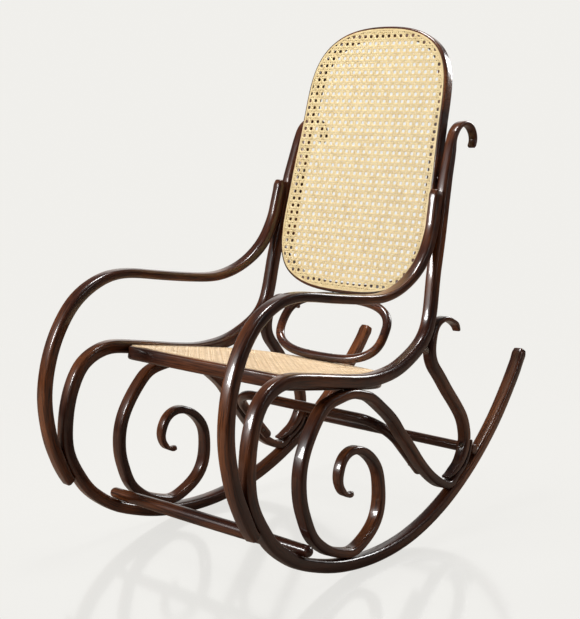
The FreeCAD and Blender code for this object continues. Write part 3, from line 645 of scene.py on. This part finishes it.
def woven_panel(name, node_name, turn, settings, material, seed):
    """Real strands in place of a CAD cane sheet: pairs both ways and single diagonals."""
    rim, middle, level = panel_rim(node_name, turn)
    pitch = settings.pitch
    reach = [max(abs(spot[axis] - middle[axis]) for spot in rim) for axis in (0, 1)]
    columns, rows = [
        CELL_STEP * math.ceil((2 * half / pitch + SPARE_CELLS) / CELL_STEP) for half in reach]
    upright = pair_family(settings, columns, rows)
    # One cell aside, the pairs across go over wherever the upright ones go under
    level_pairs = turned(pair_family(settings, rows, columns), 2, math.pi / 2)
    moved(level_pairs, pitch, 0)
    rising = diagonal_family(settings, columns, rows, 1)
    falling = diagonal_family(settings, columns, rows, -1)
    chance = random.Random(seed)
    families = (
        (upright, lambda x, y: PAIR_LANES * x / pitch),
        (level_pairs, lambda x, y: PAIR_LANES * y / pitch),
        (rising, lambda x, y: (y - x) / pitch - 0.5),
        (falling, lambda x, y: (y + x) / pitch - 0.5))
    for family, lane_of in families:
        give_tones(family, lane_of, chance)
        trimmed(family, rim, middle)
    piece = joined([family for family, lane_of in families])
    piece.name = name
    piece.data.name = name
    piece.location = (*middle, level + settings.thick * LEVEL_SHARE)
    bpy.ops.object.transform_apply(location=True, rotation=False, scale=False)
    turned(piece, 0, turn)
    piece.data.materials.clear()
    piece.data.materials.append(material)
    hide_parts(node_name)
    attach(piece, "root")
    return piece


# Operators

class CHAIR_OT_bent_members(bpy.types.Operator):
    """Side members, arms, scroll braces and rear braces in stained wood"""
    bl_idname = "chair.bent_members"
    bl_label = "Bent members"

    def execute(self, context):
        grain = wood_grain_group()
        material = wood_material("Stained bentwood", grain, context.scene.chair_wood, True)
        for part, line in BENT_MEMBERS.items():
            for side in ("left", "right"):
                node_name = side + "_" + part
                piece = finished_copy(node_name, node_name + "_wood", BENT_SMOOTH)
                grain_along(piece, line)
                piece.data.materials.append(material)
                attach(piece, "root")
        return {"FINISHED"}


class CHAIR_OT_cross_members(bpy.types.Operator):
    """Frames, rods, ring, bow and washers in stained wood"""
    bl_idname = "chair.cross_members"
    bl_label = "Cross members"

    def execute(self, context):
        grain = bpy.data.node_groups["Wood grain"]
        material = wood_material("Stained turned wood", grain, context.scene.chair_wood, False)
        for node_name in CROSS_MEMBERS:
            piece = finished_copy(node_name, node_name + "_wood", CROSS_SMOOTH)
            piece.data.materials.append(material)
            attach(piece, "root")
        return {"FINISHED"}


class CHAIR_OT_cane(bpy.types.Operator):
    """Woven cane in the seat and the back, and the cord round each"""
    bl_idname = "chair.cane"
    bl_label = "Woven cane"

    def execute(self, context):
        settings = context.scene.chair_cane
        back = cane_material("Back cane", settings.dull, settings.pale)
        # The seat's own, more peach cane colours are partly painted light, making up for how the
        # lamps fall on the upward-facing seat
        seat = cane_material("Seat cane", settings.seat_dull, settings.seat_pale)
        woven_panel("back_cane_weave", "back_cane", BACK_TURN, settings, back, BACK_SEED)
        woven_panel("seat_cane_weave", "seat_cane", SEAT_TURN, settings, seat, SEAT_SEED)
        for node_name, cane in (("back_cane_cord", back), ("seat_cane_cord", seat)):
            piece = finished_copy(node_name, node_name + "_round", SMALL_SMOOTH)
            select_only(piece)
            bevel = piece.modifiers.new("Rounded edges", "BEVEL")
            bevel.width = CORD_BEVEL
            bevel.segments = CORD_SEGMENTS
            bevel.limit_method = "ANGLE"
            bevel.angle_limit = CORD_CORNER
            bpy.ops.object.modifier_apply(modifier=bevel.name)
            piece.data.materials.append(cane)
            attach(piece, "root")
        return {"FINISHED"}


class CHAIR_OT_screws(bpy.types.Operator):
    """Screws and bolts in dulled steel"""
    bl_idname = "chair.screws"
    bl_label = "Screws and bolts"

    def execute(self, context):
        material = metal_material("Dulled steel")
        for node_name in SCREWS:
            piece = finished_copy(node_name, node_name + "_steel", SMALL_SMOOTH)
            piece.data.materials.append(material)
            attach(piece, "root")
        return {"FINISHED"}


class CHAIR_OT_studio(bpy.types.Operator):
    """Pale floor, soft light and the camera"""
    bl_idname = "chair.studio"
    bl_label = "Studio"

    def execute(self, context):
        settings = context.scene.chair_studio
        self.add_floor(settings)
        self.add_backdrop(context, settings)
        self.add_lamps()
        self.add_camera(context, settings)
        context.scene.view_settings.view_transform = "Standard"
        return {"FINISHED"}

    def add_floor(self, settings):
        """A pale floor that shows faint shadows and reflections near the chair only."""
        bpy.ops.object.select_all(action="DESELECT")
        bpy.ops.mesh.primitive_plane_add(size=FLOOR_SIZE, location=(0, 0, 0))
        floor = bpy.context.active_object
        floor.name = "floor"
        material, nodes, links, shader = new_material("Pale floor")
        shader.inputs["Base Color"].default_value = (*settings.floor, 1)
        set_inputs(shader, FLOOR_FINISH)
        glow = nodes.new("ShaderNodeEmission")
        glow.inputs["Color"].default_value = (*settings.floor, 1)
        mirror = nodes.new("ShaderNodeBsdfAnisotropic")
        set_inputs(mirror, {"Color": WHITE, "Roughness": MIRROR_ROUGHNESS})
        thrown = nodes.new("ShaderNodeBsdfDiffuse")
        thrown.inputs["Color"].default_value = (*settings.bounce, 1)
        distance = add_node(nodes, "ShaderNodeVectorMath", "LENGTH")
        links.new(nodes.new("ShaderNodeTexCoord").outputs["Object"], distance.inputs[0])
        near = add_map(nodes, links, distance.outputs["Value"], {
            "From Min": FADE_RANGE[0], "From Max": FADE_RANGE[1], "To Min": 1.0, "To Max": 0.0})
        shaded = blend_shaders(
            nodes, links, scaled(nodes, links, near, settings.shadow),
            glow.outputs[0], shader.outputs[0])
        polished = blend_shaders(
            nodes, links, scaled(nodes, links, near, settings.reflection),
            shaded, mirror.outputs[0])
        path = nodes.new("ShaderNodeLightPath")
        seen = blend_shaders(
            nodes, links, path.outputs["Is Camera Ray"], thrown.outputs[0], polished)
        links.new(seen, nodes["Material Output"].inputs["Surface"])
        floor.data.materials.append(material)

    def add_backdrop(self, context, settings):
        """Dim light from all round, and a pale backdrop for the camera and for the gloss."""
        world = bpy.data.worlds.new("Studio")
        context.scene.world = world
        world.use_nodes = True
        nodes, links = world.node_tree.nodes, world.node_tree.links
        around = nodes["Background"]
        set_inputs(around, {"Color": WHITE, "Strength": settings.ambient})
        backdrop = nodes.new("ShaderNodeBackground")
        backdrop.inputs["Color"].default_value = (*settings.floor, 1)
        facing = add_node(nodes, "ShaderNodeVectorMath", "DOT_PRODUCT")
        facing.inputs[1].default_value = BACKDROP_WAY
        links.new(nodes.new("ShaderNodeTexCoord").outputs["Generated"], facing.inputs[0])
        behind = add_map(nodes, links, facing.outputs["Value"], {
            "From Min": BACKDROP_EDGE[0], "From Max": BACKDROP_EDGE[1]})
        path = nodes.new("ShaderNodeLightPath").outputs
        glossy = combined(nodes, links, "MULTIPLY", path["Is Glossy Ray"], behind)
        either = combined(nodes, links, "MAXIMUM", path["Is Camera Ray"], glossy)
        mix = blend_shaders(nodes, links, either, around.outputs[0], backdrop.outputs[0])
        links.new(mix, nodes["World Output"].inputs["Surface"])

    def add_lamps(self):
        """Rectangular lamps to the front, side, top and rear, all aimed at the chair."""
        for name, place, power, across, high in LAMPS:
            bpy.ops.object.light_add(type="AREA", location=place)
            lamp = bpy.context.active_object
            lamp.name = name
            lamp.data.energy = power
            lamp.data.shape = "RECTANGLE"
            lamp.data.size = across
            lamp.data.size_y = high
            aim = Vector(LAMP_AIM) - Vector(place)
            lamp.rotation_euler = aim.to_track_quat("-Z", "Y").to_euler()

    def add_camera(self, context, settings):
        """The camera of the photograph, as fitted."""
        bpy.ops.object.camera_add(location=settings.camera_place, rotation=settings.camera_turn)
        camera = bpy.context.active_object
        camera.name = "photo_camera"
        camera.data.lens = settings.lens
        camera.data.sensor_width = SENSOR_WIDTH
        camera.data.sensor_fit = "AUTO"
        camera.data.clip_end = CAMERA_REACH
        context.scene.camera = camera


class CHAIR_PT_panel(bpy.types.Panel):
    """One button for each step of dressing the chair"""
    bl_label = "Rocking chair"
    bl_idname = "CHAIR_PT_panel"
    bl_space_type = "VIEW_3D"
    bl_region_type = "UI"
    bl_category = "Chair"

    def draw(self, context):
        for step in STEPS:
            self.layout.operator(step.bl_idname)


STEPS = (CHAIR_OT_bent_members, CHAIR_OT_cross_members, CHAIR_OT_cane, CHAIR_OT_screws,
         CHAIR_OT_studio)
CLASSES = (ChairWood, ChairCane, ChairStudio, *STEPS, CHAIR_PT_panel)


def register():
    for cls in CLASSES:
        bpy.utils.register_class(cls)
    bpy.types.Scene.chair_wood = bpy.props.PointerProperty(type=ChairWood)
    bpy.types.Scene.chair_cane = bpy.props.PointerProperty(type=ChairCane)
    bpy.types.Scene.chair_studio = bpy.props.PointerProperty(type=ChairStudio)


def unregister():
    del bpy.types.Scene.chair_wood
    del bpy.types.Scene.chair_cane
    del bpy.types.Scene.chair_studio
    for cls in reversed(CLASSES):
        bpy.utils.unregister_class(cls)


def main():
    register()
    bpy.ops.chair.bent_members()
    bpy.ops.chair.cross_members()
    bpy.ops.chair.cane()
    bpy.ops.chair.screws()
    bpy.ops.chair.studio()


if __name__ == "__main__":
    main()
